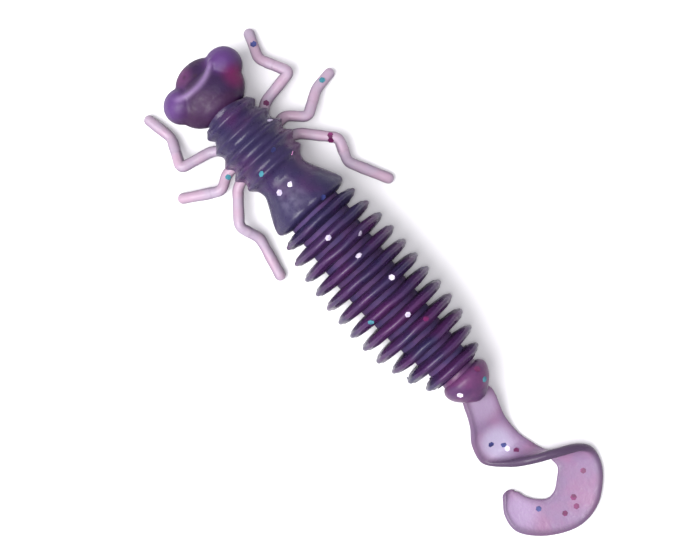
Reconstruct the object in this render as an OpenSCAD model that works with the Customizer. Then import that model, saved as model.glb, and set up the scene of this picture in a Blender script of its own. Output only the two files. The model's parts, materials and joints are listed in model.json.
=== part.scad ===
// Soft plastic larva lure: a ringed body with six legs and a curled ribbon tail.
// X runs from the nose to the tail, Z is up, and the body axis is on Z = 0.
// The soft body is divided at the places where it bends, and each place has a round knuckle.

/* [Body] */
// Depth of the flat belly below the body axis
belly_drop = 4.6; // [4.5:0.1:4.8]
// Radius of the widest abdomen ring
ring_r = 6.65; // [6.3:0.05:6.8]
// Distance from one abdomen ring to the next
ring_pitch = 2.263; // [2.25:0.001:2.28]
// Thickness of an abdomen ring where it leaves the core
ring_t = 1.72; // [1.4:0.02:1.76]
// Radius of the rounded rim of a ring
rim_r = 0.55; // [0.4:0.05:0.55]
// Sideways bow of the abdomen
body_bow = 0.66; // [0:0.05:0.8]

/* [Thorax and head] */
// Distance from one thorax ring to the next
thorax_pitch = 2.04; // [2:0.01:2.1]
// Radius of the widest thorax ring
thorax_r = 4.86; // [4.6:0.02:5]
// Radius of the neck ring
neck_r = 3.9; // [3.6:0.1:4]
// Radius of an eye lobe
eye_r = 2.45; // [2.2:0.05:2.5]

/* [Legs and tail] */
// Radius of a leg
leg_r = 0.65; // [0.55:0.05:0.65]
// Radius of the thick outer edge of the tail ribbon
bead_r = 0.5; // [0.4:0.05:0.5]
// Radius of the thin inner edge of the tail ribbon
web_r = 0.25; // [0.15:0.05:0.3]

/* [Hidden] */
$fn = 48;
ring_count = 12;
thorax_count = 4;

// Abdomen: ring places, radii and the bowed middle line
first_ring_x = 26;
widest_x = 37.5;
front_len = 19.6;
rear_len = 16.8;
bow_start = 25;
bow_len = 31;
lobe_x = 52.48;

// Thorax and neck
first_thorax_x = 11.2;
neck_x = 9.1;
neck_t = 1.3;
head_back_x = 7.7;
neck_gap = 0.75;
waist_r = 3;

// Flexure knuckles between the pieces of the body
knuckle_r = 0.6;
groove_r = 0.68;

// Leg joints
hip_r = 0.75;
hip_cut_r = 0.83;
ankle_r = 0.7;
ankle_cut_r = 0.78;
joint_reach = 1.5;

// Root of the tail ribbon, a flat disc that turns in the end lobe
swing_at = [57.3, -0.75, -1.5];
swing_r = 1.9;
swing_clear = 0.1;
ribbon_cut_r = bead_r + 0.1;
ribbon_steps = 4;
fuse_overlap = 0.02;

// Each leg: hip, knee, ankle and tip
leg_names = ["right_front", "right_middle", "right_rear", "left_front", "left_middle", "left_rear"];
tip_z = leg_r - belly_drop;
legs = [
    [[10.1, 4.9, -2.4], [9.4, 9.6, -2.2], [5.4, 7.8, -3.2], [2.2, 9.1, tip_z]],
    [[13.1, 5.4, -2.4], [15.2, 7.5, -2.2], [13.2, 10.7, -3.2], [12.8, 13.3, tip_z]],
    [[15.9, 5.2, -2.4], [19.8, 8.6, -2.2], [22.8, 7.4, -3.2], [27.8, 9.9, tip_z]],
    [[10.2, -4.6, -2.4], [9.2, -8.9, -2.2], [5.4, -7.2, -3.4], [1.8, -7.8, tip_z]],
    [[13.6, -5.0, -2.4], [14.8, -6.9, -2.2], [13.5, -9.1, -3.2], [12.1, -11.3, tip_z]],
    [[15.9, -5.2, -2.4], [19.7, -8.4, -2.2], [22.5, -7.4, -3.2], [27.7, -8.7, tip_z]]
];

// Stations along the tail ribbon: the thick edge, then the thin edge
flat_z = bead_r - belly_drop;
stations = [
    [[57.2, -2.6, -1.5], [57.3, 1.1, -1.5]],
    [[58.6, -3.5, -2.1], [58.7, 0.7, -2.1]],
    [[60.5, -4.8, -3.2], [60.5, 0.2, -3.2]],
    [[63, -5.2, flat_z], [63, 0.1, flat_z]],
    [[65, -3.4, -3.2], [65, 0.5, flat_z]],
    [[66.5, -0.8, -1.6], [66.3, 0.9, flat_z]],
    [[68, 2.2, -1.5], [67.5, 1.4, flat_z]],
    [[69.7, 4.9, -2.8], [68.6, 1.4, flat_z]],
    [[71.5, 5.6, -3.9], [69.9, 1.3, flat_z]],
    [[74, 4.5, flat_z], [71, 0.2, flat_z]],
    [[76.4, 1.5, flat_z], [72, -1.2, flat_z]],
    [[76.8, -2, flat_z], [72.1, -2.6, flat_z]],
    [[75, -5.6, flat_z], [71.1, -3.9, flat_z]],
    [[72.3, -7.9, flat_z], [69.9, -4.7, flat_z]],
    [[69.8, -7.7, flat_z], [68.9, -5, flat_z]],
    [[67.6, -6.2, flat_z], [68, -5.3, flat_z]]
];
tail_names = ["tail_stem", "tail_bend", "tail_twist", "tail_blade", "tail_tip"];
tail_ends = [0, 2, 5, 9, 12, 15];

// Glitter flakes set in the thorax and wing case, as places on the top of the body
flake_r = 0.45;
flake_t = 0.12;
flake_names = ["glitter_teal", "glitter_blue", "glitter_silver", "glitter_magenta"];
flakes = [
    [[17.3, -1.8, 3.6], [13.2, -3.2, 2.6], [11.3, 2.2, 3.1]],
    [[15.3, 1.3, 4], [23.2, 1.9, 4], [11.3, -2.4, 2.9]],
    [[13.2, 3, 2.9], [20.4, 0.9, 3.3], [20.4, -1.7, 3.2]],
    [[17.3, 2.6, 3], [15.3, -2.2, 3.6], [22.8, -3, 3.2]]
];

function two_digits(i) = str(i < 10 ? "0" : "", i);
function ring_name(i) = str("ring_", two_digits(i));

function ring_x(i) = first_ring_x + (i - 1) * ring_pitch;
function bow(x) = -body_bow * sin(180 * (x - bow_start) / bow_len);
function ring_radius(x) =
    ring_r * sqrt(1 - pow(abs(x - widest_x) / (x < widest_x ? front_len : rear_len), 2.5));
function core_radius(x) = 3.4 - (x - 25) / 25;
function joint_x(k) = ring_x(k) - ring_pitch / 2;
function thorax_x(k) = first_thorax_x + (k - 1) * thorax_pitch;
function thorax_radius(x) = thorax_r - 0.037 * pow(x - 14.3, 2);
function neck_turn_x() = neck_x + (neck_t + neck_gap) / 2;
function neck_nod_x() = neck_x - (neck_t + neck_gap) / 2;

// A smooth curve through the stations: position at t between station i and the next
function clamp_index(i) = min(max(i, 0), len(stations) - 1);
function through(a, b, c, d, t) =
    b + t * (c - a) / 2 + t * t * (a - 2.5 * b + 2 * c - d / 2)
    + t * t * t * (1.5 * b - a / 2 - 1.5 * c + d / 2);
function edge_at(u, side) =
    let (i = min(floor(u), len(stations) - 2), t = u - i)
    through(stations[clamp_index(i - 1)][side], stations[i][side],
        stations[clamp_index(i + 1)][side], stations[clamp_index(i + 2)][side], t);
function unit(v) = v / norm(v);
function along(u) =
    let (ahead = min(u + 0.05, len(stations) - 1), behind = max(u - 0.05, 0))
    unit(edge_at(ahead, 0) + edge_at(ahead, 1) - edge_at(behind, 0) - edge_at(behind, 1));

// Section of the ribbon: a thick round edge tapering to a thin one
function ribbon_section(u) =
    let (s = edge_at(u, 0), i = edge_at(u, 1), w = unit(i - s), n = unit(cross(w, along(u))))
    [
        s - bead_r * w,
        s - 0.5 * bead_r * w + 0.87 * bead_r * n,
        s + 0.6 * bead_r * w + 0.8 * bead_r * n,
        i + web_r * n,
        i + web_r * w,
        i - web_r * n,
        s + 0.6 * bead_r * w - 0.8 * bead_r * n,
        s - 0.5 * bead_r * w - 0.87 * bead_r * n
    ];

// Stands its children on p, pointing at q
module aim(p, q) {
    d = q - p;
    translate(p)
        rotate([0, acos(d[2] / norm(d)), atan2(d[1], d[0])])
            children();
}

module rod(p, q, r) {
    aim(p, q)
        cylinder(r = r, h = norm(q - p));
}

// A rod with a round end at q
module round_rod(p, q, r) {
    length = norm(q - p);
    aim(p, q)
        rotate_extrude()
            intersection() {
                union() {
                    square([r, length]);
                    translate([0, length])
                        circle(r);
                }
                square([r, length + r]);
            }
}

module sweep_ribbon(from, to) {
    count = (to - from) * ribbon_steps;
    sections = [for (k = [0:count]) ribbon_section(from + k / ribbon_steps)];
    sides = len(sections[0]);
    points = [for (s = sections) for (p = s) p];
    first = [for (j = [0:sides - 1]) j];
    last = [for (j = [sides - 1:-1:0]) count * sides + j];
    walls = [
        for (k = [0:count - 1])
            for (j = [0:sides - 1])
                let (a = k * sides + j, b = k * sides + (j + 1) % sides)
                    each [[a, a + sides, b + sides], [a, b + sides, b]]
    ];
    polyhedron(points, concat([first, last], walls), convexity = 4);
}

// A disc on the X axis: even in its inner half, then tapering to a rounded rim
module disc(r, t) {
    rotate([0, 90, 0])
        rotate_extrude()
            for (face = [-1, 1])
                polygon([[0, 0], [0, face * t / 2], [r / 2, face * t / 2], [r - rim_r, face * rim_r],
                    [r - 0.3 * rim_r, face * 0.75 * rim_r], [r, face * 0.3 * rim_r], [r, 0]]);
}

module belly_cut() {
    translate([0, -15, -belly_drop - 10])
        cube([80, 30, 10]);
}

// The pin or groove of a flexure: upright where the body bends sideways
module flexure(x, y, r, length, upright) {
    translate([x, y, 0])
        rotate([upright ? 0 : 90, 0, 0])
            cylinder(r = r, h = length, center = true);
}

module body_flexure(k, r, extra) {
    x = joint_x(k);
    flexure(x, bow(x), r, 1.7 * core_radius(x) + extra, k % 2 == 1);
}

module eye_shape(side) {
    translate([3.4, side * 3.85, 0.4])
        sphere(eye_r);
}

module face_shape() {
    face_r = 1.8;
    for (side = [-1, 1])
        translate([face_r, side * 0.75, 0])
            sphere(face_r);
    translate([face_r, 0, 0])
        rotate([90, 0, 0])
            cylinder(r = face_r, h = 1.5, center = true);
}

// Broad between the eyes, narrowing to the neck
module skull() {
    middle_x = 4.9;
    hull()
        for (side = [-1, 1])
            translate([middle_x, side * 1.6, 0])
                sphere(3.2, $fn = 32);
    translate([middle_x, 0, 0])
        rotate([0, 90, 0])
            cylinder(r = 3.1, h = 4);
}

module head() {
    color("indigo")
        difference() {
            union() {
                difference() {
                    skull();
                    translate([head_back_x, -5, -5])
                        cube(10);
                }
                flexure(neck_nod_x(), 0, knuckle_r, 5, false);
            }
            face_shape();
            for (side = [-1, 1])
                eye_shape(side);
        }
}

module face_lobe() {
    color("mediumpurple")
        face_shape();
}

module eye(side) {
    color(side > 0 ? "purple" : "slateblue")
        difference() {
            eye_shape(side);
            face_shape();
        }
}

module neck_ring() {
    color("indigo")
        difference() {
            union() {
                translate([neck_x, 0, 0])
                    disc(neck_r, neck_t);
                flexure(neck_turn_x(), 0, knuckle_r, 5, true);
            }
            flexure(neck_nod_x(), 0, groove_r, 5.4, false);
        }
}

// One thorax ring, with the coxae of the legs that it carries
module thorax_ring(k) {
    x = thorax_x(k);
    r = thorax_radius(x);
    ahead = k == 1 ? first_thorax_x - neck_turn_x() - neck_gap / 2 : thorax_pitch / 2;
    behind = thorax_pitch / 2;
    color("rebeccapurple")
        difference() {
            union() {
                translate([x, 0, 0])
                    rotate([0, 90, 0])
                        rotate_extrude() {
                            polygon([[0, -ahead], [r - 0.95, -ahead], [r - 0.5, -0.45],
                                [r - 0.5, 0.45], [r - 0.95, behind], [0, behind]]);
                            translate([r - 0.5, 0])
                                circle(0.5);
                        }
                if (k < thorax_count)
                    for (side = [0, 3])
                        coxa(legs[k - 1 + side], x);
            }
            if (k == 1)
                flexure(neck_turn_x(), 0, groove_r, 5.4, true);
            belly_cut();
        }
}

// Hip axis: level and square to the thigh
function hip_axis(leg) = unit([leg[1][1] - leg[0][1], leg[0][0] - leg[1][0], 0]);

module coxa(leg, x) {
    hip = leg[0];
    root = [x, sign(hip[1]) * 3.2, -1.8];
    rod(root, hip, leg_r);
    rod(hip - hip_r * hip_axis(leg), hip + hip_r * hip_axis(leg), hip_r);
}

module femur(leg) {
    reach = joint_reach * hip_axis(leg);
    color("thistle")
        difference() {
            round_rod(leg[0], leg[1], leg_r);
            rod(leg[0] - reach, leg[0] + reach, hip_cut_r);
        }
}

module tibia(leg) {
    up = [0, 0, ankle_r];
    color("plum") {
        rod(leg[1], leg[2], leg_r);
        rod(leg[2] - up, leg[2] + up, ankle_r);
    }
}

module tarsus(leg) {
    up = [0, 0, joint_reach];
    color("thistle")
        difference() {
            round_rod(leg[2], leg[3], leg_r);
            rod(leg[2] - up, leg[2] + up, ankle_cut_r);
        }
}

// Core between the thorax and the first abdomen ring
module waist() {
    front = thorax_x(thorax_count) + thorax_pitch / 2;
    rear = joint_x(1) - (ring_pitch - ring_t) / 2;
    color("indigo") {
        translate([front, 0, 0])
            rotate([0, 90, 0])
                cylinder(r = waist_r, h = rear - front);
        body_flexure(1, knuckle_r, 0);
    }
}

// Half of the flared wing case
module wing_pad(side) {
    front = thorax_x(thorax_count) + thorax_pitch / 2;
    rim_x = 23.7;
    half_split = 0.1;
    color("midnightblue")
        difference() {
            rotate([0, 90, 0])
                rotate_extrude() {
                    polygon([[waist_r, front], [3.55, front], [4.6, 22], [5.2, 23.2], [4.9, rim_x],
                        [waist_r, rim_x]]);
                    translate([4.85, rim_x - 0.15])
                        circle(0.5);
                }
            translate([0, side > 0 ? half_split - 20 : -half_split, -10])
                cube([40, 20, 20]);
            belly_cut();
        }
}

module abdomen_ring(i) {
    x = ring_x(i);
    color(i % 2 == 1 ? "indigo" : "darkslateblue")
        difference() {
            union() {
                translate([x, bow(x), 0])
                    disc(ring_radius(x), ring_t);
                body_flexure(i + 1, knuckle_r, 0);
            }
            body_flexure(i, groove_r, 0.4);
            belly_cut();
        }
}

// Blunt lobe behind the last ring, slotted for the root of the ribbon
module end_lobe() {
    color("mediumorchid")
        difference() {
            translate([lobe_x, bow(lobe_x), 0])
                rotate([0, 90, 0])
                    rotate_extrude()
                        polygon([[0, 0], [2.7, 0], [3.2, 0.5], [3.3, 1], [3.1, 1.8], [2.6, 2.6],
                            [1.8, 3.2], [1, 3.5], [0, 3.6]]);
            body_flexure(ring_count + 1, groove_r, 0.4);
            translate(swing_at)
                cylinder(r = swing_r + swing_clear, h = 2 * (bead_r + swing_clear), center = true);
        }
}

function edge_start(u) = edge_at(u, 0) - bead_r * unit(edge_at(u, 1) - edge_at(u, 0));
function edge_end(u) = edge_at(u, 1) + web_r * unit(edge_at(u, 1) - edge_at(u, 0));

// Front end of a length of ribbon: a flat disc at the root, and a round knuckle elsewhere
module ribbon_knuckle(k, inset, height) {
    from = tail_ends[k];
    if (k == 0)
        translate(swing_at)
            cylinder(r = swing_r - inset, h = height, center = true);
    else
        rod(edge_start(from), edge_end(from), bead_r - inset);
}

// One length of the tail ribbon, from its own knuckle to the groove for the next one
module tail_piece(k) {
    from = tail_ends[k];
    to = tail_ends[k + 1];
    color(k % 2 == 0 ? "orchid" : "plum")
        difference() {
            union() {
                difference() {
                    sweep_ribbon(from, to);
                    ribbon_knuckle(k, fuse_overlap, 8 * bead_r);
                }
                ribbon_knuckle(k, 0, 2 * bead_r);
            }
            if (k < len(tail_names) - 1) {
                beyond = (edge_end(to) - edge_start(to)) / 4;
                rod(edge_start(to) - beyond, edge_end(to) + beyond, ribbon_cut_r);
            }
        }
}

module flake_group(k) {
    color(["teal", "blue", "silver", "magenta"][k])
        for (p = flakes[k])
            translate(p)
                cylinder(r = flake_r, h = flake_t, $fn = 6);
}

head();
face_lobe();
eye(-1);  // left_eye
eye(1);  // right_eye
neck_ring();
for (k = [1:thorax_count])
    thorax_ring(k);
waist();
wing_pad(-1);  // left_wing_pad
wing_pad(1);  // right_wing_pad
for (i = [1:ring_count])
    abdomen_ring(i);
end_lobe();
for (k = [0:len(tail_names) - 1])
    tail_piece(k);
for (k = [0:len(legs) - 1]) {
    femur(legs[k]);
    tibia(legs[k]);
    tarsus(legs[k]);
}
for (k = [0:len(flake_names) - 1])
    flake_group(k);
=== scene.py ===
"""Soft plastic larva lure: one purple moulding with glitter in it, laid on a white table.

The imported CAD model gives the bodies, the joints and the places. Lengths here are in millimetres
and become metres only when a mesh is made. X runs nose to tail, Z is up.
"""

import json
import math
import random

import bpy
from mathutils import Matrix, Vector, noise
from mathutils.bvhtree import BVHTree

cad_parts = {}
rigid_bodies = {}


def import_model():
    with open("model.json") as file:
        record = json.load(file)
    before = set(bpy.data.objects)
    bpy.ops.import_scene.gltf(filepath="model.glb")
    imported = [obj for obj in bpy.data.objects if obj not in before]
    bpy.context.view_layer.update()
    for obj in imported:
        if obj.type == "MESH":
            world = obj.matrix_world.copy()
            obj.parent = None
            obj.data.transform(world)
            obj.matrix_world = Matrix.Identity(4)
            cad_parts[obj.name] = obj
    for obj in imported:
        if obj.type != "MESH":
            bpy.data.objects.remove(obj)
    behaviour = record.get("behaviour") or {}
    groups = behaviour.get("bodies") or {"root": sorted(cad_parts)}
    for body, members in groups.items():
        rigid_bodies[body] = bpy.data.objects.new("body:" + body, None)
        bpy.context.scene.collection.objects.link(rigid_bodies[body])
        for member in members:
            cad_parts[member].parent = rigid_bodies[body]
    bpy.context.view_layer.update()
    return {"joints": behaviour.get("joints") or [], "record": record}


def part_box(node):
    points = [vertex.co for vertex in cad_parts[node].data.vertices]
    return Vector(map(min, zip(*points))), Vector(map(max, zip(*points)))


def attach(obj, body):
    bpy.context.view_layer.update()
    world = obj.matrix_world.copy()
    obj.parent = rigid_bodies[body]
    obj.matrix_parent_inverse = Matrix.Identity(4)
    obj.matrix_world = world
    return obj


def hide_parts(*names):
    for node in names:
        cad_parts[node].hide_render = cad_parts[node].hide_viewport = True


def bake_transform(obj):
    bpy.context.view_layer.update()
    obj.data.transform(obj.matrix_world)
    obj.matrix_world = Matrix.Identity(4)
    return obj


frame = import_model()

MM = 0.001
BELLY = -4.6  # the flat underside, which is also the table
SHARP = math.radians(55)  # faces that meet at a sharper turn than this keep a hard edge
joints = {j["name"]: j for j in frame["joints"]}


def joint_at(name):
    """Where a joint is, in millimetres."""
    return Vector(joints[name]["pos_m"]) / MM


def pivot_before(body):
    """The joint that carries a body."""
    return next(j["name"] for j in frame["joints"] if j["child"] == body)


def pivot_after(body):
    """The joint that a body carries."""
    return next(j["name"] for j in frame["joints"] if j["parent"] == body)


def box_mm(node):
    """The corners of a CAD node's box, in millimetres."""
    low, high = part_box(node)
    return low / MM, high / MM


skins = []  # pieces that flakes may lie on


def remember(piece, body_at):
    """Lets flakes lie on a piece. body_at(point) names the body that its surface follows there."""
    skins.append((piece, body_at))


# ---------------------------------------------------------------- mesh helpers


def make_mesh(name, points, faces, material):
    """A smooth mesh object from points in millimetres."""
    mesh = bpy.data.meshes.new(name)
    mesh.from_pydata([Vector(p) * MM for p in points], [], faces)
    mesh.validate()
    mesh.shade_smooth()
    mesh.set_sharp_from_angle(angle=SHARP)
    mesh.materials.append(material)
    piece = bpy.data.objects.new(name, mesh)
    bpy.context.scene.collection.objects.link(piece)
    return piece


def mark(piece, name, values):
    """Stores a number for each point of a mesh, which its material reads by name."""
    piece.data.attributes.new(name, "FLOAT", "POINT").data.foreach_set("value", values)


def loft(name, sections, material):
    """A closed skin over sections that have the same number of points, with a fan at each end."""
    sides = len(sections[0])
    points = [p for section in sections for p in section]
    faces = []
    for k in range(len(sections) - 1):
        for j in range(sides):
            a = k * sides + j
            b = k * sides + (j + 1) % sides
            faces.append((a, b, b + sides, a + sides))
    for section, turn in ((0, -1), (len(sections) - 1, 1)):
        middle = sum((Vector(p) for p in sections[section]), Vector()) / sides
        centre = len(points)
        points.append(middle)
        for j in range(sides):
            a = section * sides + j
            b = section * sides + (j + 1) % sides
            faces.append((centre, a, b) if turn > 0 else (centre, b, a))
    return make_mesh(name, points, faces, material)


def smooth_curve(points, values):
    """Interpolates a list of vectors at any value from 0 to len - 1, passing through each one."""
    last = len(points) - 1
    out = []
    for u in values:
        i = min(int(u), last - 1)
        t = u - i
        a, b = points[max(i - 1, 0)], points[i]
        c, d = points[i + 1], points[min(i + 2, last)]
        out.append(
            b
            + (c - a) * (t / 2)
            + (a - b * 2.5 + c * 2 - d * 0.5) * (t * t)
            + (b * 1.5 - a * 0.5 - c * 1.5 + d * 0.5) * (t**3)
        )
    return out


def profile(knots, x):
    """A smooth radius through (x, radius) knots."""
    last = len(knots) - 1
    x = min(max(x, knots[0][0]), knots[last][0])
    i = next(k for k in range(last) if x <= knots[k + 1][0])
    (x0, r0), (x1, r1) = knots[i], knots[i + 1]

    def slope(k):
        (xa, ra), (xb, rb) = knots[max(k - 1, 0)], knots[min(k + 1, last)]
        return (rb - ra) / (xb - xa) * (x1 - x0)

    t = (x - x0) / (x1 - x0)
    return (
        r0 * (2 * t**3 - 3 * t**2 + 1)
        + slope(i) * (t**3 - 2 * t**2 + t)
        + r1 * (3 * t**2 - 2 * t**3)
        + slope(i + 1) * (t**3 - t**2)
    )


def steps_along(start, stop, step):
    """Places from start, one step apart, as far as stop."""
    x = start
    while x < stop:
        yield x
        x += step


def flattened(radius, angle):
    """Radius at an angle round the body, pressed flat where it meets the table."""
    down = -math.sin(angle)
    if down <= 0.05:
        return radius
    floor = -BELLY / down
    power = 14  # the higher, the tighter the turn from round to flat
    return (radius**-power + floor**-power) ** (-1 / power)


def wobble(point, scale, size):
    """A small even unevenness, the same for pieces that meet."""
    return size * noise.noise(Vector(point) / scale)


def body_section(x, y, radius_at, sides, wave=0.04):
    """One section across the body. radius_at(angle) gives its radius before it is pressed flat."""
    section = []
    for j in range(sides):
        angle = 2 * math.pi * j / sides
        r = flattened(radius_at(angle), angle)
        p = Vector((x, y + r * math.cos(angle), r * math.sin(angle)))
        r += wobble(p, 2.2, wave)
        section.append((x, y + r * math.cos(angle), max(r * math.sin(angle), BELLY)))
    return section


# ---------------------------------------------------------------- materials


def srgb(*colour):
    """A colour as seen on screen, 0 to 255, in the linear values that shaders use."""
    linear = [(c / 255 / 12.92) if c <= 10 else ((c / 255 + 0.055) / 1.055) ** 2.4 for c in colour]
    return (*linear, 1)


class Shader:
    """A Principled material with short calls for the nodes used here."""

    def __init__(self, name):
        self.material = bpy.data.materials.new(name)
        self.material.use_nodes = True
        self.tree = self.material.node_tree
        self.bsdf = self.tree.nodes["Principled BSDF"]
        self.place = self.node("ShaderNodeTexCoord").outputs["Object"]

    def node(self, kind, **settings):
        made = self.tree.nodes.new(kind)
        for key, value in settings.items():
            setattr(made, key, value)
        return made

    def link(self, source, target):
        self.tree.links.new(source, target)

    def fill(self, socket, value):
        """Gives a socket a fixed value or another node's output."""
        if hasattr(value, "is_output"):
            self.link(value, socket)
        else:
            socket.default_value = value

    def noise(self, size_mm, detail=3.0, roughness=0.5, low=0.35, high=0.65):
        """Soft noise from 0 to 1, with features of about size_mm."""
        made = self.node("ShaderNodeTexNoise")
        made.inputs["Scale"].default_value = 1 / (size_mm * MM)
        made.inputs["Detail"].default_value = detail
        made.inputs["Roughness"].default_value = roughness
        self.link(self.place, made.inputs["Vector"])
        return self.ramp(made.outputs["Fac"], low, high)

    def ramp(self, value, low, high, start=0.0, end=1.0):
        """Turns low to high into start to end, smoothly."""
        made = self.node("ShaderNodeMapRange", interpolation_type="SMOOTHSTEP")
        self.fill(made.inputs["Value"], value)
        for key, number in (("From Min", low), ("From Max", high), ("To Min", start), ("To Max", end)):
            made.inputs[key].default_value = number
        return made.outputs["Result"]

    def spot(self, centre, radius, soft):
        """1 within soft * radius of a point in millimetres, falling to 0 at radius."""
        made = self.node("ShaderNodeVectorMath", operation="DISTANCE")
        self.link(self.place, made.inputs[0])
        made.inputs[1].default_value = Vector(centre) * MM
        return self.ramp(made.outputs["Value"], radius * soft * MM, radius * MM, 1, 0)

    def attribute(self, name):
        """The number that mark() stored under this name."""
        return self.node("ShaderNodeAttribute", attribute_name=name).outputs["Fac"]

    def times(self, a, b):
        made = self.node("ShaderNodeMath", operation="MULTIPLY")
        self.fill(made.inputs[0], a)
        self.fill(made.inputs[1], b)
        return made.outputs[0]

    def mix(self, share, a, b):
        """Colour a where share is 0 and colour b where it is 1."""
        made = self.node("ShaderNodeMix", data_type="RGBA")
        self.fill(made.inputs["Factor"], share)
        self.fill(made.inputs[6], a)
        self.fill(made.inputs[7], b)
        return made.outputs[2]

    def bump(self, height, depth_mm, strength):
        made = self.node("ShaderNodeBump")
        made.inputs["Strength"].default_value = strength
        made.inputs["Distance"].default_value = depth_mm * MM
        self.link(height, made.inputs["Height"])
        self.link(made.outputs["Normal"], self.bsdf.inputs["Normal"])

    def set(self, **values):
        for key, value in values.items():
            self.fill(self.bsdf.inputs[key.replace("_", " ")], value)


def soft_plastic(shader, scatter_mm, weight, roughness):
    """The finish that every length of the moulding shares: oily, a little lit from inside."""
    shader.set(Subsurface_Weight=weight, Subsurface_Scale=scatter_mm * MM, IOR=1.46)
    shader.bsdf.inputs["Subsurface Radius"].default_value = (1.0, 0.5, 1.1)
    shader.set(Specular_IOR_Level=0.3)
    shader.set(Roughness=shader.ramp(shader.noise(1.6), 0, 1, roughness - 0.05, roughness + 0.1))
    shader.bump(shader.noise(0.55, detail=4, low=0.2, high=0.8), 0.03, 0.6)


def body_plastic():
    """Dark purple with bluer and redder drifts, and a painted reflection on the wing case: a paler grey
    patch, broken up by noise.
    """
    shader = Shader("body_plastic")
    deep = srgb(56, 34, 72)
    blue = srgb(32, 32, 62)
    plum = srgb(64, 30, 72)
    colour = shader.mix(shader.noise(5.0), deep, plum)
    colour = shader.mix(shader.times(shader.noise(7.5, low=0.4, high=0.62), 0.8), colour, blue)
    # Painted reflection: a paler grey patch where the light glances off the wing case's sloping top.
    painted_sheen = shader.times(shader.spot((21.6, -1.2, 4.6), 3.0, 0.1), shader.noise(1.1, low=0.2, high=0.7))
    colour = shader.mix(shader.times(painted_sheen, 0.55), colour, srgb(104, 98, 122))
    shader.set(Base_Color=colour)
    soft_plastic(shader, 0.6, 0.08, 0.31)
    return shader.material


def core_plastic():
    """The same plastic down between the rings, where it is matt and in shade. Its colour is painted paler
    than the body's: painted light that lifts that shade.
    """
    shader = Shader("core_plastic")
    shader.set(Base_Color=shader.mix(shader.noise(2.4), srgb(74, 50, 90), srgb(62, 50, 88)))
    shader.set(Specular_IOR_Level=0.12, IOR=1.46)
    shader.set(Roughness=shader.ramp(shader.noise(1.2), 0, 1, 0.6, 0.75))
    shader.bump(shader.noise(0.4, detail=4, low=0.2, high=0.8), 0.03, 0.6)
    return shader.material


def head_plastic():
    """Dark plastic, redder and paler in places, with a painted highlight along the brow and two dark dots
    on the face.
    """
    shader = Shader("head_plastic")
    colour = shader.mix(shader.noise(4.0), srgb(38, 18, 54), srgb(44, 15, 50))
    for side in (-1, 1):
        colour = shader.mix(shader.spot((2.6, side * 4.3, 1.4), 3.4, 0.3), colour, srgb(74, 44, 98))
    colour = shader.mix(shader.spot((5.4, 3.8, 1.5), 2.4, 0.2), colour, srgb(86, 16, 66))
    colour = shader.mix(shader.spot((6.0, -1.0, 3.0), 2.6, 0.2), colour, srgb(46, 14, 54))
    colour = shader.mix(shader.spot((1.2, -0.9, 0.8), 2.0, 0.2), colour, srgb(78, 36, 78))
    # Painted highlight: a pale line along the crest of the brow ridge.
    colour = shader.mix(shader.times(shader.attribute("brow"), 0.6), colour, srgb(132, 108, 150))
    for dot in ((2.3, 0.3, 1.7), (1.6, -0.75, 1.2)):
        colour = shader.mix(shader.spot(dot, 0.55, 0.4), colour, srgb(40, 18, 44))
    shader.set(Base_Color=colour)
    soft_plastic(shader, 0.8, 0.1, 0.5)
    return shader.material


def clear_plastic(name, middle, tint, edge, patches=()):
    """Pale plastic, with painted shade where the "edge" mark is high: darker along edges and sides. Each
    patch is (centre, radius, colour).
    """
    shader = Shader(name)
    colour = shader.mix(shader.noise(3.5), middle, tint)
    for centre, radius, shade in patches:
        colour = shader.mix(shader.spot(centre, radius, 0.3), colour, shade)
    colour = shader.mix(shader.attribute("edge"), colour, edge)
    shader.set(Base_Color=colour)
    soft_plastic(shader, 0.3, 0.12, 0.36)
    return shader.material


def lobe_plastic():
    """The end lobe, between the dark of the body and the pale of the tail."""
    shader = Shader("lobe_plastic")
    colour = shader.mix(shader.noise(2.6), srgb(70, 40, 78), srgb(88, 46, 86))
    shader.set(Base_Color=colour)
    soft_plastic(shader, 1.0, 0.2, 0.38)
    return shader.material


def flake_film(name, colour, shine):
    """Glitter film, with a colour that changes a little from place to place."""
    shader = Shader(name)
    colour = shader.mix(shader.noise(0.9), colour, shine)
    shader.set(Base_Color=colour, Metallic=0.15, Roughness=0.45)
    shader.bump(shader.noise(0.12, low=0.2, high=0.8), 0.01, 0.4)
    return shader.material


def table_paper():
    """Plain white paper."""
    shader = Shader("table")
    shader.set(Base_Color=shader.mix(shader.noise(40), srgb(222, 221, 224), srgb(219, 218, 221)))
    shader.set(Roughness=0.9)
    return shader.material


BODY = body_plastic()
CORE = core_plastic()
HEAD = head_plastic()
LOBE = lobe_plastic()
# The third colour of each is the painted shade along edges and sides.
LEG = clear_plastic("leg_plastic", srgb(146, 132, 150), srgb(154, 130, 148), srgb(90, 74, 96))
TAIL = clear_plastic(
    "tail_plastic", srgb(120, 98, 128), srgb(128, 96, 126), srgb(66, 50, 74),
    [
        ((57.2, -0.8, -1.6), 3.0, srgb(132, 114, 140)),
        ((62.2, -2.6, -3.4), 3.2, srgb(148, 138, 162)),
        ((70.8, -6.4, -4.1), 3.4, srgb(138, 118, 148)),
    ],
)
FLAKES = {
    "teal": flake_film("flake_teal", srgb(28, 88, 104), srgb(60, 126, 142)),
    "blue": flake_film("flake_blue", srgb(34, 34, 82), srgb(54, 60, 116)),
    "silver": flake_film("flake_silver", srgb(160, 150, 176), srgb(216, 206, 226)),
    "magenta": flake_film("flake_magenta", srgb(76, 8, 60), srgb(106, 16, 84)),
}

# ---------------------------------------------------------------- abdomen

RING_NAMES = [f"ring_{i:02d}" for i in range(1, 13)]
RING_SIDES = 72
RIM_ROUND = 0.34  # half the thickness of the rim, and how far its rounding goes in
RIM_STEPS = 8


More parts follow.
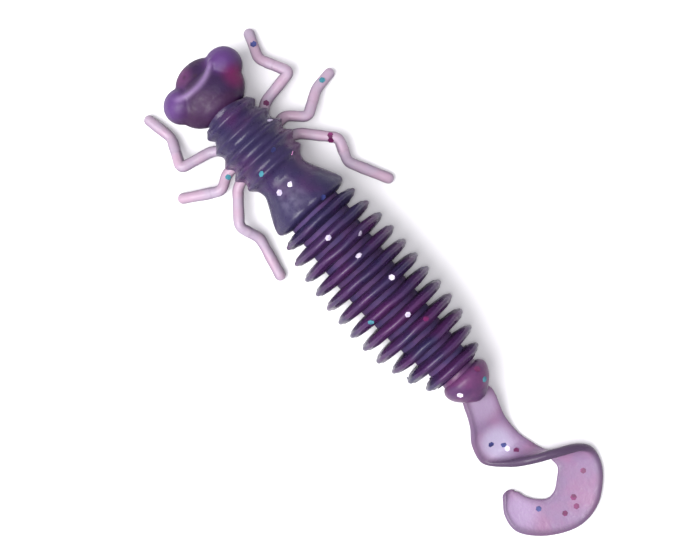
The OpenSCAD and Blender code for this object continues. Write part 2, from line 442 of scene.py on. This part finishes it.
def ring_place(name):
    """A ring's place along the body, its offset to the side and its radius."""
    low, high = box_mm(name)
    x = (joint_at(pivot_before(name)).x + joint_at(pivot_after(name)).x) / 2
    return x, (low.y + high.y) / 2, high.z


def core_radius(x):
    """Radius of the slim core between the rings."""
    return profile([(24, 3.7), (37, 3.6), (51, 2.7), (53, 2.5)], x)


def abdomen_ring(name):
    """One thin disc with tapered flanks and a rounded, slightly wavy rim."""
    x, y, radius = ring_place(name)
    core = core_radius(x)
    # Half the thickness at each radius, from the middle outward
    flank = [(0.86, 0.3), (0.86, core - 0.3), (0.8, core + 0.5), (0.7, radius - 1.3), (0.56, radius - 0.6)]
    outline = [(-half, r) for half, r in flank]
    for k in range(RIM_STEPS + 1):
        turn = math.pi * (k / RIM_STEPS - 0.5)
        outline.append((RIM_ROUND * math.sin(turn), radius - RIM_ROUND * (1 - math.cos(turn))))
    outline += reversed(flank)
    sections = []
    for along, r in outline:
        section = []
        for j in range(RING_SIDES):
            angle = 2 * math.pi * j / RING_SIDES
            aside, up = math.cos(angle), math.sin(angle)
            full = flattened(radius, angle) + wobble((x * 3, aside * 3, up * 3), 1.4, 0.12)
            reach = r * full / radius
            lean = wobble((x * 7, aside * 2, up * 2), 1.1, 0.22) * (r / radius) ** 2
            section.append((x + along + lean, y + reach * aside, max(reach * up, BELLY)))
        sections.append(section)
    piece = loft(name + "_skin", sections, BODY)
    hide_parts(name)
    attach(piece, name)
    return piece


def core_knuckle(name, joint, radius, material):
    """The core where it bends: round about the joint, with both ends inside the pieces on each side."""
    pivot = joint_at(joint)
    reach = 0.88  # half its length, short enough that two of them never meet inside a ring
    sections = []
    steps = 14
    for k in range(steps + 1):
        along = reach * (2 * k / steps - 1)
        r = math.sqrt(radius**2 - along**2)
        sections.append(body_section(pivot.x + along, pivot.y, lambda angle: r, 48))
    piece = loft(name, sections, material)
    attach(piece, joints[joint]["child"])


def neck_web(name, joint, x0, x1, radius_at):
    """A length of neck across one joint, ending inside the pieces on each side."""
    sections = []
    steps = 12
    for k in range(steps + 1):
        t = k / steps
        x = x0 + (x1 - x0) * t
        r = radius_at(x) * (1 - 0.07 * math.sin(math.pi * t))
        sections.append(body_section(x, 0, lambda angle: r, 48))
    piece = loft(name, sections, BODY)
    pivot = joint_at(joint)
    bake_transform(piece)


for ring in RING_NAMES:
    remember(abdomen_ring(ring), lambda p, ring=ring: ring)
for ring in RING_NAMES:
    joint = pivot_before(ring)
    core_knuckle(f"core_{ring}", joint, core_radius(joint_at(joint).x), CORE)
core_knuckle("core_end_lobe", pivot_before("end_lobe"), 2.6, LOBE)

# ---------------------------------------------------------------- thorax and wing case

# (x, radius) without the rings, and (x, height) of each ring
THORAX_KNOTS = [
    (9.9, 3.4), (10.3, 3.6), (12.2, 3.95), (14.3, 4.1), (16.3, 4.05), (18.9, 3.4),
    (20, 3.7), (22, 4.7), (23.6, 5.35), (24.15, 5.25), (24.55, 4.6), (24.8, 3.3),
]
THORAX_RINGS = [(11.2, 0.6), (13.24, 0.7), (15.28, 0.7), (17.32, 0.6)]


def thorax_radius(x, angle):
    """Radius with the rings, and with the wing case lower along its back, where its pads part."""
    r = profile(THORAX_KNOTS, x)
    for place, height in THORAX_RINGS:
        r += height * math.exp(-(((x - place) / 0.55) ** 2))
    wing = max(0.0, min(1.0, (x - 18.8) / 2))
    groove = math.exp(-(((angle - math.pi / 2) / 0.16) ** 2))
    hollow = math.exp(-(((angle - math.pi / 2) / 0.75) ** 2))
    return r * (1 - wing * (0.05 * groove + 0.06 * hollow))


def thorax():
    """The thorax with its four rings, the waist and the wing case, in one skin."""
    sections = []
    for x in steps_along(THORAX_KNOTS[0][0], THORAX_KNOTS[-1][0], 0.11):
        sections.append(body_section(x, 0, lambda angle: thorax_radius(x, angle), 96, wave=0.09))
    piece = loft("thorax_skin", sections, BODY)
    for node in frame["record"]["behaviour"]["bodies"]["thorax"]:
        if not node.startswith("glitter"):
            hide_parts(node)
    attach(piece, "thorax")
    return piece


remember(thorax(), lambda p: "thorax")


def neck_radius(x):
    """Radius with the neck's one ring."""
    return 3.3 + 0.62 * math.exp(-(((x - 9.1) / 0.6) ** 2))


def neck():
    """The ring between the head and the thorax, on a short stem."""
    sections = []
    for x in steps_along(8.3, 9.95, 0.1):
        sections.append(body_section(x, 0, lambda angle: neck_radius(x), 72, wave=0.08))
    piece = loft("neck_skin", sections, BODY)
    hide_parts("neck_ring")
    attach(piece, "neck")
    return piece


remember(neck(), lambda p: "neck")
neck_web("neck_web_rear", "head_turn", 9.3, 10.95, lambda x: 3.35)
neck_web("neck_web_front", "head_nod", 7.5, 8.95, lambda x: 2.9 + 0.2 * (x - 7.5))

# ---------------------------------------------------------------- head


def ellipsoid(points, faces, centre, radii, rings=20, sides=28):
    """Adds a closed ellipsoid to lists of points and faces."""
    base = len(points)
    for k in range(rings + 1):
        lat = math.pi * (k / rings - 0.5)
        for j in range(sides):
            lon = 2 * math.pi * j / sides
            unit = (math.cos(lat) * math.cos(lon), math.cos(lat) * math.sin(lon), math.sin(lat))
            points.append([c + r * u for c, r, u in zip(centre, radii, unit)])
    for k in range(rings):
        for j in range(sides):
            a = base + k * sides + j
            b = base + k * sides + (j + 1) % sides
            faces.append((a, b, b + sides, a + sides))


def brow_x(y):
    """The ridge across the face, which curves back at each end."""
    return 3.55 - (0.1 if y > -0.6 else 0.065) * (y + 0.6) ** 2


BROW_STEPS = 30

# The centre and the radii of each lobe
HEAD_LOBES = [
    ((5.2, 0.1, 0.0), (3.5, 4.9, 3.3)),
    ((6.6, 0.2, 0.0), (2.2, 3.85, 3.3)),
    ((3.4, 3.9, 0.1), (2.4, 2.4, 2.6)),
    ((3.75, -3.45, 0.1), (2.35, 2.4, 2.6)),
    ((2.6, 0.3, -0.3), (2.35, 3.3, 2.3)),
]


def head():
    """The head as lobes and a brow ridge that are fused and smoothed into one skin."""
    points, faces = [], []
    for centre, radii in HEAD_LOBES:
        ellipsoid(points, faces, centre, radii)
    for k in range(BROW_STEPS + 1):
        y = 3.0 - 6.8 * k / BROW_STEPS
        z = 2.45 - 0.05 * y * y
        ellipsoid(points, faces, (brow_x(y), y, z), (0.42, 0.5, 0.48), rings=8, sides=12)
    piece = make_mesh("head_skin", points, faces, HEAD)
    fuse(piece, voxel_mm=0.16, smoothing=9)
    # Marks where the painted highlight along the brow goes.
    mark(piece, "brow", [painted_brow_highlight(v.co / MM) for v in piece.data.vertices])
    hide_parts("head", "face_lobe", "left_eye", "right_eye")
    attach(piece, "head")
    return piece


def painted_brow_highlight(p):
    """1 along the middle of the brow ridge, falling to 0 beside it and under the face: where the painted
    highlight goes.
    """
    ends = max(0.0, min(1.0, (3.2 - p.y) / 0.8, (p.y + 4.0) / 0.8))
    top = max(0.0, min(1.0, p.z - 0.6))
    return ends * top * math.exp(-(((p.x - brow_x(p.y)) / 0.42) ** 2))


def fuse(piece, voxel_mm, smoothing):
    """Joins overlapping shapes into one skin and rounds off the places where they meet."""
    remesh = piece.modifiers.new("fuse", "REMESH")
    remesh.mode = "VOXEL"
    remesh.voxel_size = voxel_mm * MM
    smooth = piece.modifiers.new("smooth", "SMOOTH")
    smooth.iterations = smoothing
    smooth.factor = 0.6
    graph = bpy.context.evaluated_depsgraph_get()
    mesh = bpy.data.meshes.new_from_object(piece.evaluated_get(graph))
    mesh.shade_smooth()
    piece.modifiers.clear()
    piece.data = mesh


remember(head(), lambda p: "head")

# ---------------------------------------------------------------- end lobe and tail ribbon

# (x, radius)
LOBE_KNOTS = [
    (52.05, 2.25), (52.45, 2.95), (53.2, 3.3), (54.3, 2.95), (55.3, 2.1), (56.0, 1.2), (56.4, 0.5),
]


def end_lobe():
    """The blunt end of the body, which the ribbon grows from."""
    sections = []
    for x in steps_along(LOBE_KNOTS[0][0], LOBE_KNOTS[-1][0], 0.1):
        sections.append(body_section(x, -0.14, lambda angle: profile(LOBE_KNOTS, x), 64, wave=0.1))
    piece = loft("end_lobe_skin", sections, LOBE)
    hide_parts("end_lobe")
    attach(piece, "end_lobe")
    return piece


remember(end_lobe(), lambda p: "end_lobe")

BEAD = 0.5  # radius of the thick edge
WEB = 0.25  # radius of the thin edge
FLAT = BELLY + BEAD  # height of the ribbon where it lies on the table
SEAM = 0.0015  # how far a length of ribbon stops short of the next one, as a share of a station
PER_STATION = 12  # sections made from one station to the next

# The thick edge and the thin edge at each station along the ribbon
STATIONS = [
    ((54.4, -1.5, -1.0), (55.0, 1.1, -1.0)),
    ((55.9, -2.2, -1.3), (56.3, 1.35, -1.3)),
    ((57.2, -2.75, -1.6), (57.4, 1.15, -1.6)),
    ((58.6, -3.5, -2.1), (58.7, 0.7, -2.1)),
    ((60.5, -4.8, -3.2), (60.5, 0.2, -3.2)),
    ((63, -5.2, FLAT), (63, 0.1, FLAT)),
    ((65, -3.4, -3.2), (65, 0.5, FLAT)),
    ((66.5, -0.8, -1.6), (66.3, 0.9, FLAT)),
    ((68, 2.2, -1.5), (67.5, 1.4, FLAT)),
    ((69.7, 4.9, -2.8), (68.6, 1.4, FLAT)),
    ((71.5, 5.6, -3.9), (69.9, 1.3, FLAT)),
    ((74, 4.5, FLAT), (71, 0.2, FLAT)),
    ((76.4, 1.5, FLAT), (72.0, -1.2, FLAT)),
    ((76.8, -2, FLAT), (72.1, -2.6, FLAT)),
    ((75, -5.6, FLAT), (71.1, -3.9, FLAT)),
    ((72.3, -7.9, FLAT), (69.9, -4.7, FLAT)),
    ((69.8, -7.7, FLAT), (68.9, -5.0, FLAT)),
    ((68.1, -6.3, FLAT), (68.4, -5.3, FLAT)),
]
THICK_EDGE = [Vector(s) for s, _ in STATIONS]
THIN_EDGE = [Vector(i) for _, i in STATIONS]
LAST_STATION = len(STATIONS) - 1


def standing(u):
    """1 where the ribbon stands on its thin edge, falling to 0 where it lies flat."""
    return math.exp(-(((u - 7.4) / 2.6) ** 6))


def ribbon_section(u):
    """Points round the ribbon at u, and the painted shade at each: darker at the edges, darkest where the
    ribbon stands on its thin edge.
    """
    thick = smooth_curve(THICK_EDGE, [u])[0]
    thin = smooth_curve(THIN_EDGE, [u])[0]
    near = [max(u - 0.05, 0), min(u + 0.05, LAST_STATION)]
    a, b = smooth_curve(THICK_EDGE, near)
    c, d = smooth_curve(THIN_EDGE, near)
    width = (thin - thick).length
    across = (thin - thick) / width
    normal = across.cross((b + d - a - c).normalized()).normalized()
    points, edge_shades = [], []
    bead = BEAD + 0.1 * standing(u)
    # Painted shade: the thick edge is darker, most where the ribbon stands on its thin edge.
    dark = 0.6 + 0.4 * standing(u)
    for k in range(9):
        turn = math.pi * (0.5 + k / 8)
        points.append(thick + across * (bead * math.cos(turn)) + normal * (bead * math.sin(turn)))
        edge_shades.append(dark)
    inner = [0.05, 0.12, 0.2, 0.32, 0.5, 0.7, 0.82, 0.92]
    reach = 0.6 + standing(u) * (0.9 * max(0.0, min(1.0, (7.5 - u) / 1.5)) - 0.15)
    for t in inner:
        points.append(thick + across * (t * width) - normal * ribbon_half(t, bead))
        edge_shades.append(dark * edge_shade_share(t, width, reach))
    for k in range(7):
        turn = math.pi * (-0.5 + k / 6)
        points.append(thin + across * (WEB * math.cos(turn)) + normal * (WEB * math.sin(turn)))
        edge_shades.append(0.35)
    for t in reversed(inner):
        points.append(thick + across * (t * width) + normal * ribbon_half(t, bead))
        edge_shades.append(dark * edge_shade_share(t, width, reach))
    for p in points:
        p.z = max(p.z, BELLY)
    return points, edge_shades


def ribbon_half(t, bead):
    """Half the thickness, from the thick edge at t = 0 to the thin one at t = 1."""
    return bead + (WEB - bead) * min(1, 1.6 * t) ** 0.7


def edge_shade_share(t, width, reach):
    """How much painted shade a point gets: 1 at the thick edge, falling to 0 at reach millimetres in, and
    fainter at the thin edge.
    """
    near = 1 - t * width / reach
    far = 0.8 - (1 - t) * width / 0.7
    return max(0.0, near, far * 0.8)


def ribbon(name, start, end, nodes):
    """One length of the tail, from station start to station end."""
    steps = int((end - start) * PER_STATION)
    first = start + SEAM if start > 0 else start
    last = end - SEAM if end < LAST_STATION else end
    sections, edge_shades = [], []
    for k in range(steps + 1):
        points, marks = ribbon_section(first + (last - first) * k / steps)
        sections.append(points)
        edge_shades += marks
    if end == LAST_STATION:
        sections, edge_shades = round_off(sections, edge_shades)
    piece = loft(name, sections, TAIL)
    # The painted shade for each point, then for the two end centres.
    mark(piece, "edge", edge_shades + [0.3, 0.5])
    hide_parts(*nodes)
    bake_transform(piece)
    return piece


def round_off(sections, edge_shades):
    """Adds shrinking sections past the last one, for a rounded tip."""
    last = [Vector(p) for p in sections[-1]]
    ahead = (sum(last, Vector()) - sum((Vector(p) for p in sections[-2]), Vector())).normalized()
    middle = sum(last, Vector()) / len(last)
    for turn in (25, 50, 70, 84):
        size = math.cos(math.radians(turn))
        step = 0.55 * math.sin(math.radians(turn))
        sections.append([middle + (p - middle) * size + ahead * step for p in last])
        edge_shades += [0.5] * len(last)
    return sections, edge_shades


swing = joint_at("tail_swing")
tail_root = ribbon("tail_root_skin", 0, 3, [])
tail_stem = ribbon("tail_stem_skin", 3, 5.5, ["tail_stem"])
tail_twist = ribbon(
    "tail_twist_skin", 5.5, 9, ["tail_bend", "tail_twist"]
)
tail_blade = ribbon(
    "tail_blade_skin", 9, 12.5, ["tail_blade"]
)
tail_tip = ribbon(
    "tail_tip_skin", 12.5, 17, ["tail_tip"]
)
remember(tail_root, lambda p: "tail_stem")
remember(tail_stem, lambda p: "tail_stem" if p.x < 60.4 else "tail_bend")
remember(tail_twist, lambda p: "tail_bend" if p.x < 66.6 else "tail_twist")
remember(tail_blade, lambda p: "tail_twist" if p.x + p.y < 75 and p.y > 1.5 else "tail_blade")
remember(tail_tip, lambda p: "tail_tip" if p.x < 72.5 else "tail_blade")

# ---------------------------------------------------------------- legs

LEG_R = 0.72
LEG_SIDES = 20
LEG_STEP = 0.16  # the longest gap between two sections of a leg
LEG_SEAM = 0.01  # how far each length of a leg stops short of the other
TIP_Z = BELLY + LEG_R  # the feet lie on the table

# The knee and the tip of each leg
LEG_POINTS = {
    "right_front": ((9.4, 9.6, -2.2), (2.2, 9.1, TIP_Z)),
    "right_middle": ((15.2, 7.5, -2.2), (12.8, 13.3, TIP_Z)),
    "right_rear": ((19.8, 8.6, -2.2), (27.8, 9.9, TIP_Z)),
    "left_front": ((9.2, -8.9, -2.2), (1.8, -7.8, TIP_Z)),
    "left_middle": ((14.8, -6.9, -2.2), (12.1, -11.3, TIP_Z)),
    "left_rear": ((19.7, -8.4, -2.2), (27.7, -8.7, TIP_Z)),
}


def rounded_path(corners, radius):
    """Points along straight runs, with each corner turned on a smooth arc."""
    path = [corners[0]]
    for before, corner, after in zip(corners, corners[1:], corners[2:]):
        a = corner + (before - corner).normalized() * radius
        b = corner + (after - corner).normalized() * radius
        path.append(a)
        for k in range(1, 8):
            t = k / 8
            path.append(a * (1 - t) ** 2 + corner * 2 * t * (1 - t) + b * t * t)
        path.append(b)
    path.append(corners[-1])
    out = [path[0]]
    for p, q in zip(path, path[1:]):
        count = max(1, int((q - p).length / LEG_STEP))
        out += [p + (q - p) * (k / count) for k in range(1, count + 1)]
    return out


def leg_radius(p):
    """Radius of a leg at a point along it, a little uneven."""
    return LEG_R + wobble(p, 1.3, 0.07)


def leg_tube(name, path, round_end):
    """A round tube along a path, with an even frame and, if asked, a round tip."""
    end = len(path) - 1
    tangents = [(path[min(k + 1, end)] - path[max(k - 1, 0)]).normalized() for k in range(end + 1)]
    turns = [2 * math.pi * j / LEG_SIDES for j in range(LEG_SIDES)]
    across = Vector((0, 0, 1)).cross(tangents[0]).normalized()
    sections = []
    for p, t in zip(path, tangents):
        across = (across - t * across.dot(t)).normalized()
        up = t.cross(across)
        r = leg_radius(p)
        section = [p + (across * math.cos(turn) + up * math.sin(turn)) * r for turn in turns]
        for q in section:
            q.z = max(q.z, BELLY)
        sections.append(section)
    if round_end:
        rim, centre, ahead, r = sections[-1], path[-1], tangents[-1], leg_radius(path[-1])
        for turn in (20, 40, 58, 72, 83):
            size = math.cos(math.radians(turn))
            step = ahead * (r * math.sin(math.radians(turn)))
            sections.append([centre + (q - centre) * size + step for q in rim])
    piece = loft(name, sections, LEG)
    # Painted shade: darker along the tube's two sides, as they look from above.
    sides = [max(0.0, abs(math.cos(turn)) - 0.7) * 2.6 for turn in turns]
    mark(piece, "edge", sides * len(sections) + [0.3, 0.6])
    return piece


def leg(name):
    """One leg in two lengths that meet half way down the shin: one through the hip, one through the ankle.
    """
    lift, flex = f"{name}_lift", f"{name}_foot_flex"
    hip, ankle = joint_at(lift), joint_at(flex)
    knee, tip = (Vector(p) for p in LEG_POINTS[name])
    inside = Vector((hip.x + 0.35 * (14 - hip.x), math.copysign(2.9, hip.y), -1.6))
    shin = (knee + ankle) / 2
    seam = (ankle - knee).normalized() * LEG_SEAM

    upper_path = rounded_path([inside, hip, knee, shin - seam], radius=0.75)
    upper = leg_tube(name + "_leg_skin", upper_path, round_end=False)
    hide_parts(name + "_femur", name + "_tibia")
    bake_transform(upper)

    lower_path = rounded_path([shin + seam, ankle, tip], radius=0.7)
    lower = leg_tube(name + "_foot_skin", lower_path, round_end=True)
    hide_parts(name + "_tarsus")
    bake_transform(lower)
    remember(upper, lambda p: name + "_leg")
    remember(lower, lambda p: name + "_foot")


for leg_name in LEG_POINTS:
    leg(leg_name)

# ---------------------------------------------------------------- glitter

# Flakes that lie on top, as (x, y), by colour
SEEN_FLAKES = {
    "teal": [(12.9, 12.0), (14.1, -5.2), (17.0, -1.8), (39.7, -4.1), (54.6, 1.6)],
    "blue": [(3.6, 8.6), (15.8, 1.3), (24.3, 1.9), (72.1, -4.3), (63.0, -2.1), (61.9, -3.3)],
    "silver": [
        (12.7, 3.5), (20.4, 0.0), (20.2, -1.7), (29.0, -1.0), (31.6, 2.3), (32.2, 0.3),
        (37.3, 1.5), (42.0, -0.1), (54.0, -2.0), (63.7, -2.1),
    ],
    "magenta": [
        (10.4, 4.7), (18.9, 8.0), (19.4, 7.6), (72.3, 3.2), (74.0, 0.0), (75.1, -0.5),
        (53.0, 1.8), (43.5, 1.2), (64.6, -1.4), (74.8, -2.2),
    ],
}
FLAKE_R = 0.43
FLAKE_HALF = 0.03  # half the thickness, more than real film has, so that a flake stands off the skin
SIDE_FLAKES = 26
OUTSIDE = 30  # where the rays that place flakes start, clear of the lure
CRESTS = [ring_place(name)[0] for name in RING_NAMES]


def surface_trees():
    """Each remembered piece as a tree for rays, in millimetres."""
    trees = []
    for piece, body_at in skins:
        world = piece.matrix_world
        points = [world @ v.co / MM for v in piece.data.vertices]
        faces = [tuple(p.vertices) for p in piece.data.polygons]
        trees.append((BVHTree.FromPolygons(points, faces), body_at))
    return trees


def nearest_surface(trees, origin, direction):
    """The first surface that a ray meets: its point, normal and body."""
    best = None
    for tree, body_at in trees:
        point, normal, _, distance = tree.ray_cast(origin, direction, 2 * OUTSIDE)
        if point is not None and (best is None or distance < best[0]):
            best = (distance, point, normal, body_at(point))
    return best


def add_flake(points, faces, place, normal, size, spin, tilt):
    """Adds a six-sided plate lying on the surface."""
    turn = normal.to_track_quat("Z", "Y").to_matrix().to_4x4()
    turn = Matrix.Translation(place) @ turn @ Matrix.Rotation(spin, 4, "Z") @ Matrix.Rotation(tilt, 4, "X")
    base = len(points)
    for z in (-FLAKE_HALF, FLAKE_HALF):
        for k in range(6):
            angle = math.pi * k / 3
            points.append(turn @ Vector((size * math.cos(angle), size * math.sin(angle), z)))
    faces.append(tuple(base + k for k in reversed(range(6))))
    faces.append(tuple(base + 6 + k for k in range(6)))
    for k in range(6):
        faces.append((base + k, base + (k + 1) % 6, base + 6 + (k + 1) % 6, base + 6 + k))


def on_crest(x):
    """Moves a place along the abdomen to the top of the nearest ring, so that its flake shows."""
    nearest = min(CRESTS, key=lambda crest: abs(crest - x))
    if abs(nearest - x) > 1.2:
        return x
    return nearest + max(-0.2, min(0.2, x - nearest))


def glitter():
    """Every flake, gathered by colour and by the body it sits in: the seen ones, then the sides."""
    draw = random.Random(12)
    trees = surface_trees()
    groups = {}

    def place(colour, origin, direction, size, on_legs=True):
        found = nearest_surface(trees, Vector(origin), Vector(direction).normalized())
        if found is None:
            return
        _, point, normal, body = found
        if point.z < BELLY + 0.1 or (not on_legs and body.endswith(("_leg", "_foot"))):
            return
        group = groups.setdefault((colour, body), ([], []))
        add_flake(*group, point, normal, size, draw.uniform(0, 1), draw.uniform(-0.15, 0.15))

    for colour, places in SEEN_FLAKES.items():
        for x, y in places:
            place(colour, (on_crest(x), y, OUTSIDE), (0, 0, -1), FLAKE_R * draw.uniform(0.9, 1.05))
    for _ in range(SIDE_FLAKES):
        x = on_crest(draw.choice((draw.uniform(2, 7), draw.uniform(11, 55), draw.uniform(11, 55))))
        side = draw.choice((-1, 1))
        colour = draw.choice(list(SEEN_FLAKES))
        height = draw.uniform(-3.4, -0.7)
        size = FLAKE_R * draw.uniform(0.8, 1.0)
        place(colour, (x, side * OUTSIDE, height), (0, -side, 0), size, on_legs=False)
    for (colour, body), (points, faces) in sorted(groups.items()):
        piece = make_mesh(f"flakes_{colour}_{body}", points, faces, FLAKES[colour])
        piece.data.shade_flat()
        if body == "thorax":
            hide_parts(f"glitter_{colour}")
        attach(piece, body)


glitter()

# ---------------------------------------------------------------- table, light and camera


def table():
    """A flat sheet under the belly."""
    half = 0.6  # metres
    level = BELLY * MM
    points = [(-half, -half), (half, -half), (half, half), (-half, half)]
    mesh = bpy.data.meshes.new("table")
    mesh.from_pydata([(x, y, level) for x, y in points], [], [(0, 1, 2, 3)])
    mesh.materials.append(table_paper())
    piece = bpy.data.objects.new("table", mesh)
    bpy.context.scene.collection.objects.link(piece)


def softbox(name, place, target, size, power):
    """A round, soft light that faces a target."""
    light = bpy.data.lights.new(name, "AREA")
    light.shape = "DISK"
    light.size = size
    light.energy = power
    lamp = bpy.data.objects.new(name, light)
    bpy.context.scene.collection.objects.link(lamp)
    lamp.location = place
    lamp.rotation_mode = "QUATERNION"
    lamp.rotation_quaternion = (Vector(target) - Vector(place)).to_track_quat("-Z", "Y")


def surroundings(strength):
    """Even light from all round."""
    world = bpy.data.worlds.new("studio")
    world.use_nodes = True
    background = world.node_tree.nodes["Background"]
    background.inputs["Color"].default_value = (0.98, 0.96, 1, 1)
    background.inputs["Strength"].default_value = strength
    bpy.context.scene.world = world


def camera(centre, heading, width_mm):
    """Looks straight down, with image right turned heading degrees from nose-to-tail towards +Y."""
    data = bpy.data.cameras.new("camera")
    data.lens = 100
    data.clip_start = 0.01
    data.clip_end = 10
    cam = bpy.data.objects.new("camera", data)
    bpy.context.scene.collection.objects.link(cam)
    height = Vector((0, 0, width_mm * MM * data.lens / data.sensor_width))
    turn = Matrix.Rotation(math.radians(heading), 4, "Z")
    cam.matrix_world = Matrix.Translation(Vector(centre) * MM + height) @ turn
    bpy.context.scene.camera = cam


table()
middle = Vector((0.032, -0.002, 0))  # metres, as all lengths for the lights are
softbox("key", middle + Vector((-0.04, -0.2, 0.34)), middle, size=0.34, power=3.1)
softbox("top", middle + Vector((0, -0.012, 0.42)), middle, size=0.05, power=0.5)
surroundings(0.68)
bpy.context.scene.view_settings.view_transform = "Standard"
camera((32.37, -2.59, 0), heading=47.769, width_mm=85.68)
